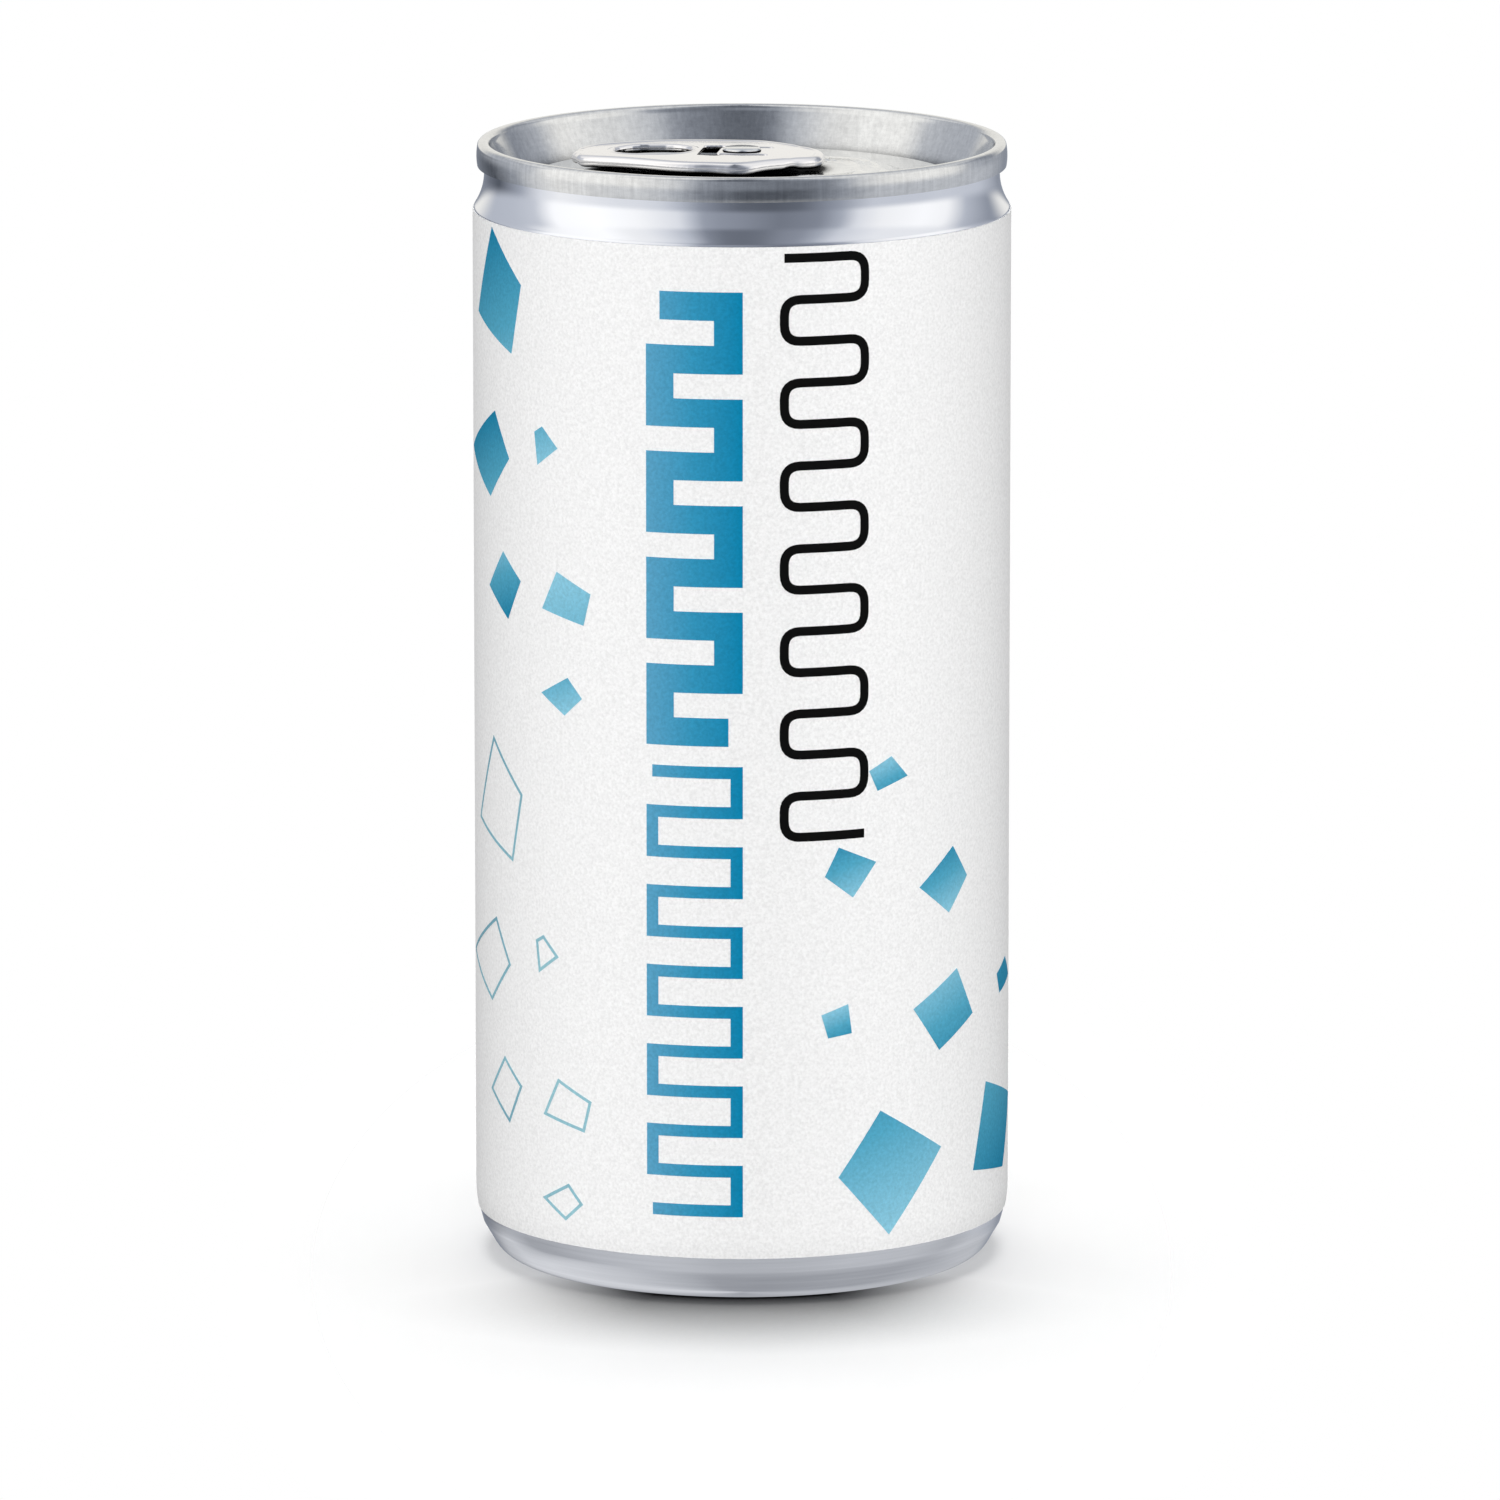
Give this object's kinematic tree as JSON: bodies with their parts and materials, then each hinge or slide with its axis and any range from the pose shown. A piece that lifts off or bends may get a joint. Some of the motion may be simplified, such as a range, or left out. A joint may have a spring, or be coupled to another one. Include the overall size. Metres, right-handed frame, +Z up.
{
  "type": "slim drinks can",
  "caption": "Shut slim drinks can with a necked body, a domed base, a seamed end with a stay-on tab, and a white printed sleeve.",
  "frame": {"origin": "centre of the circle that the can stands on, on the table", "axes": "+Z up along the can's axis, +X towards the tab's nose, and the shown side of the print faces -Y"},
  "size_m": [0.0532, 0.0532, 0.1118],
  "materials": {
    "body": "bright drawn aluminium with a soft brushed sheen",
    "end": "satin rolled aluminium, brushed round the seam and the chuck wall",
    "tab": "bright smooth aluminium",
    "sleeve": "matt white printed sleeve with a fine grain"
  },
  "bodies": {
    "root": {"can_body": "body", "can_end": "end", "pull_tab": "tab", "label": "sleeve"}
  },
  "joints": []
}
